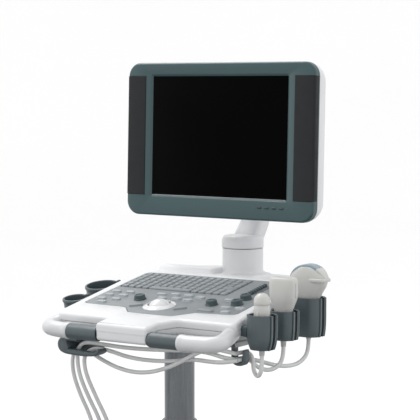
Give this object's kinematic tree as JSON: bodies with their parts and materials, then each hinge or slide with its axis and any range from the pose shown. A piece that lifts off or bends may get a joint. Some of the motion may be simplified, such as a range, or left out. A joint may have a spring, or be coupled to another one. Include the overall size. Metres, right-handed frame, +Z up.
{
  "type": "ultrasound machine",
  "caption": "Cart-based diagnostic scanner: tilted key console with trackball on a lifting column, screen on a swivel neck, three hand probes in side sleeves.",
  "frame": {"origin": "on the floor under the column's axis, the centre of the footprint", "axes": "+Z up, -Y towards the user, +X to the user's right"},
  "size_m": [0.58, 0.6101, 1.2864],
  "materials": {
    "white_shell": "satin moulded plastic",
    "grey_panel": "fine texture",
    "key_grey": "satin",
    "dark_knob": "soft touch",
    "slate": "fine texture",
    "bezel_teal": "satin gloss",
    "white_gloss": "gloss",
    "lcd": "anti-glare",
    "column_metal": "satin anodised",
    "column_paint": "powder coat",
    "base_paint": "powder coat",
    "caster_body": "moulded",
    "tyre": "polyurethane",
    "pedal": "moulded",
    "board": "solder mask",
    "steel_box": "zinc plated",
    "black_plastic": "moulded",
    "probe_white": "satin moulded plastic",
    "cable_grey": "smooth jacket"
  },
  "bodies": {
    "cart": {"base_frame": "base_paint", "cabinet_shell": "white_shell", "rear_panel": "slate", "main_board": "board", "power_supply": "steel_box", "outer_column": "column_paint", "probe_connector_1": "slate", "probe_connector_2": "slate", "probe_connector_3": "slate", "cable_1_lower": "cable_grey", "cable_2_lower": "cable_grey", "cable_3_lower": "cable_grey"},
    "console": {"inner_column": "column_metal", "console_base": "white_shell", "console_deck": "white_shell", "key_panel": "grey_panel", "trackball_ring": "white_gloss", "handle_bars": "white_shell", "handle_grips": "slate", "hook_left": "slate", "hook_right": "slate", "probe_holder_1": "slate", "probe_holder_2": "slate", "probe_holder_3": "slate", "cup_small": "slate", "cup_large": "slate", "cable_1_upper": "cable_grey", "cable_2_upper": "cable_grey", "cable_3_upper": "cable_grey"},
    "monitor_arm": {"monitor_arm": "white_shell"},
    "monitor": {"monitor_shell": "white_shell", "monitor_bezel": "bezel_teal", "lcd_panel": "lcd"},
    "monitor_buttons": {"monitor_buttons": "key_grey"},
    "fan": {"fan_rotor": "black_plastic"},
    "power_rocker": {"power_rocker": "black_plastic"},
    "trackball": {"trackball": "white_gloss"},
    "caster_front_left": {"caster_fork_front_left": "caster_body"},
    "wheels_front_left": {"caster_wheels_front_left": "tyre"},
    "pedal_front_left": {"brake_pedal_front_left": "pedal"},
    "caster_front_right": {"caster_fork_front_right": "caster_body"},
    "wheels_front_right": {"caster_wheels_front_right": "tyre"},
    "pedal_front_right": {"brake_pedal_front_right": "pedal"},
    "caster_rear_left": {"caster_fork_rear_left": "caster_body"},
    "wheels_rear_left": {"caster_wheels_rear_left": "tyre"},
    "caster_rear_right": {"caster_fork_rear_right": "caster_body"},
    "wheels_rear_right": {"caster_wheels_rear_right": "tyre"},
    "keyboard_keys": {"keyboard_keys": "key_grey"},
    "left_keys": {"left_keys": "key_grey"},
    "right_keys": {"right_keys": "key_grey"},
    "set_keys": {"set_keys": "key_grey"},
    "freeze_key": {"freeze_key": "key_grey"},
    "knob_left": {"knob_left": "dark_knob"},
    "knob_centre": {"knob_centre": "dark_knob"},
    "knob_right_front": {"knob_right_front": "dark_knob"},
    "knob_right_rear": {"knob_right_rear": "dark_knob"},
    "gain_sliders": {"gain_sliders": "key_grey"},
    "probe_1": {"probe_1": "probe_white"},
    "probe_2": {"probe_2": "probe_white"},
    "probe_3": {"probe_3": "probe_white"}
  },
  "joints": [
    {"name": "caster_swivel_front_left", "type": "hinge", "parent": "cart", "child": "caster_front_left", "pos_m": [-0.262, -0.274, 0.112], "axis": [0, 0, 1], "continuous": true},
    {"name": "wheel_spin_front_left", "type": "hinge", "parent": "caster_front_left", "child": "wheels_front_left", "pos_m": [-0.262, -0.244, 0.05], "axis": [1, 0, 0], "continuous": true},
    {"name": "brake_pedal_front_left", "type": "hinge", "parent": "caster_front_left", "child": "pedal_front_left", "pos_m": [-0.262, -0.179, 0.066], "axis": [1, 0, 0], "range_deg": [-18, 0]},
    {"name": "caster_swivel_front_right", "type": "hinge", "parent": "cart", "child": "caster_front_right", "pos_m": [0.262, -0.274, 0.112], "axis": [0, 0, 1], "continuous": true},
    {"name": "wheel_spin_front_right", "type": "hinge", "parent": "caster_front_right", "child": "wheels_front_right", "pos_m": [0.262, -0.244, 0.05], "axis": [1, 0, 0], "continuous": true},
    {"name": "brake_pedal_front_right", "type": "hinge", "parent": "caster_front_right", "child": "pedal_front_right", "pos_m": [0.262, -0.179, 0.066], "axis": [1, 0, 0], "range_deg": [-18, 0]},
    {"name": "caster_swivel_rear_left", "type": "hinge", "parent": "cart", "child": "caster_rear_left", "pos_m": [-0.262, 0.222, 0.112], "axis": [0, 0, 1], "continuous": true},
    {"name": "wheel_spin_rear_left", "type": "hinge", "parent": "caster_rear_left", "child": "wheels_rear_left", "pos_m": [-0.262, 0.252, 0.05], "axis": [1, 0, 0], "continuous": true},
    {"name": "caster_swivel_rear_right", "type": "hinge", "parent": "cart", "child": "caster_rear_right", "pos_m": [0.262, 0.222, 0.112], "axis": [0, 0, 1], "continuous": true},
    {"name": "wheel_spin_rear_right", "type": "hinge", "parent": "caster_rear_right", "child": "wheels_rear_right", "pos_m": [0.262, 0.252, 0.05], "axis": [1, 0, 0], "continuous": true},
    {"name": "column_lift", "type": "slide", "parent": "cart", "child": "console", "axis": [0, 0, 1], "range_m": [0, 0.15]},
    {"name": "monitor_swivel", "type": "hinge", "parent": "console", "child": "monitor_arm", "pos_m": [0, 0.218, 0.923], "axis": [0, 0, 1], "range_deg": [-60, 60]},
    {"name": "monitor_tilt", "type": "hinge", "parent": "monitor_arm", "child": "monitor", "pos_m": [0, 0.24, 1.066], "axis": [1, 0, 0], "range_deg": [-20, 10]},
    {"name": "monitor_button_press", "type": "slide", "parent": "monitor", "child": "monitor_buttons", "axis": [0, 0.9995, -0.0314], "range_m": [0, 0.001], "stiffness_N_per_m": 800},
    {"name": "fan_spin", "type": "hinge", "parent": "cart", "child": "fan", "pos_m": [0, 0.28, 0.47], "axis": [0, 1, 0], "continuous": true},
    {"name": "power_rocker_press", "type": "hinge", "parent": "cart", "child": "power_rocker", "pos_m": [-0.015, 0.287, 0.2], "axis": [1, 0, 0], "range_deg": [0, 10]},
    {"name": "trackball_roll", "type": "hinge", "parent": "console", "child": "trackball", "pos_m": [0, -0.06227, 0.83364], "axis": [1, 0, 0], "continuous": true},
    {"name": "keyboard_press", "type": "slide", "parent": "console", "child": "keyboard_keys", "axis": [0, 0.165, -0.9863], "range_m": [0, 0.0013], "stiffness_N_per_m": 800},
    {"name": "left_keys_press", "type": "slide", "parent": "console", "child": "left_keys", "axis": [0, 0.165, -0.9863], "range_m": [0, 0.0013], "stiffness_N_per_m": 800},
    {"name": "right_keys_press", "type": "slide", "parent": "console", "child": "right_keys", "axis": [0, 0.165, -0.9863], "range_m": [0, 0.0013], "stiffness_N_per_m": 800},
    {"name": "set_keys_press", "type": "slide", "parent": "console", "child": "set_keys", "axis": [0, 0.165, -0.9863], "range_m": [0, 0.0013], "stiffness_N_per_m": 800},
    {"name": "freeze_press", "type": "slide", "parent": "console", "child": "freeze_key", "axis": [0, 0.165, -0.9863], "range_m": [0, 0.0013], "stiffness_N_per_m": 800},
    {"name": "knob_left_turn", "type": "hinge", "parent": "console", "child": "knob_left", "pos_m": [-0.062, -0.03836, 0.84829], "axis": [0, -0.165, 0.9863], "continuous": true},
    {"name": "knob_centre_turn", "type": "hinge", "parent": "console", "child": "knob_centre", "pos_m": [0.093, -0.03244, 0.84928], "axis": [0, -0.165, 0.9863], "continuous": true},
    {"name": "knob_right_front_turn", "type": "hinge", "parent": "console", "child": "knob_right_front", "pos_m": [0.139, -0.01962, 0.85143], "axis": [0, -0.165, 0.9863], "continuous": true},
    {"name": "knob_right_rear_turn", "type": "hinge", "parent": "console", "child": "knob_right_rear", "pos_m": [0.136, 0.0149, 0.8572], "axis": [0, -0.165, 0.9863], "continuous": true},
    {"name": "gain_slide", "type": "slide", "parent": "console", "child": "gain_sliders", "axis": [1, 0, 0], "range_m": [-0.01, 0.01]},
    {"name": "probe_1_lift", "type": "slide", "parent": "console", "child": "probe_1", "axis": [0, 0, 1], "range_m": [0, 0.08]},
    {"name": "probe_2_lift", "type": "slide", "parent": "console", "child": "probe_2", "axis": [0, 0, 1], "range_m": [0, 0.08]},
    {"name": "probe_3_lift", "type": "slide", "parent": "console", "child": "probe_3", "axis": [0, 0, 1], "range_m": [0, 0.08]}
  ]
}
